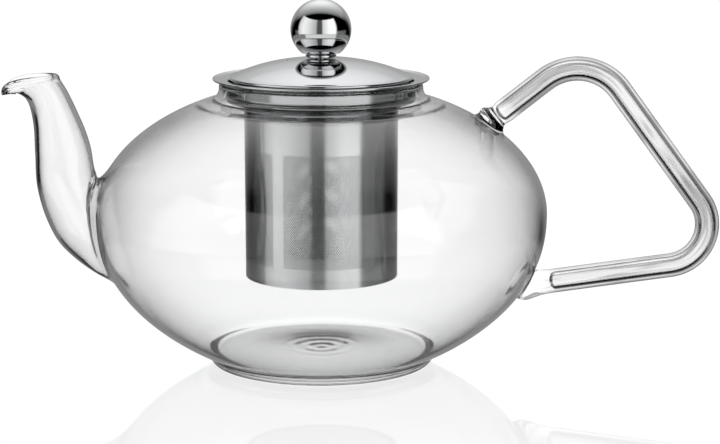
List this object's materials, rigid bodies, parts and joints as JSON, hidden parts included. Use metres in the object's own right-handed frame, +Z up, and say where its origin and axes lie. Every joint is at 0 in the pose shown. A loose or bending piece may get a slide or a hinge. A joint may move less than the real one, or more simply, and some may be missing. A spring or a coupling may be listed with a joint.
{
  "type": "glass teapot",
  "caption": "Round clear glass teapot with a drawn spout, a bent tube handle, a lift-out perforated steel infuser and a domed steel lid with a ball knob.",
  "frame": {"origin": "centre of the flat underside, on the pot's vertical axis", "axes": "+Z up, +X towards the handle, -X towards the spout"},
  "size_m": [0.2725, 0.1716, 0.1392],
  "materials": {
    "glass": "clear, fire-polished borosilicate",
    "polished_steel": "mirror-polished stainless sheet",
    "strainer_steel": "fine satin stainless sheet",
    "knob_steel": "mirror-polished turned stainless"
  },
  "bodies": {
    "pot": {"glass_body": "glass", "glass_spout": "glass", "glass_handle": "glass", "handle_weld_upper": "glass", "handle_weld_lower": "glass"},
    "infuser": {"infuser_rim": "polished_steel", "strainer_wall": "strainer_steel", "strainer_base": "strainer_steel"},
    "lid": {"lid_cover": "polished_steel", "lid_skirt": "polished_steel", "knob_ball": "knob_steel", "knob_collar": "knob_steel", "knob_screw": "strainer_steel", "knob_washer": "strainer_steel"}
  },
  "joints": [
    {"name": "infuser_lift", "type": "slide", "parent": "pot", "child": "infuser", "axis": [0, 0, 1], "range_m": [0, 0.09]},
    {"name": "lid_lift", "type": "slide", "parent": "infuser", "child": "lid", "axis": [0, 0, 1], "range_m": [0, 0.03]}
  ]
}
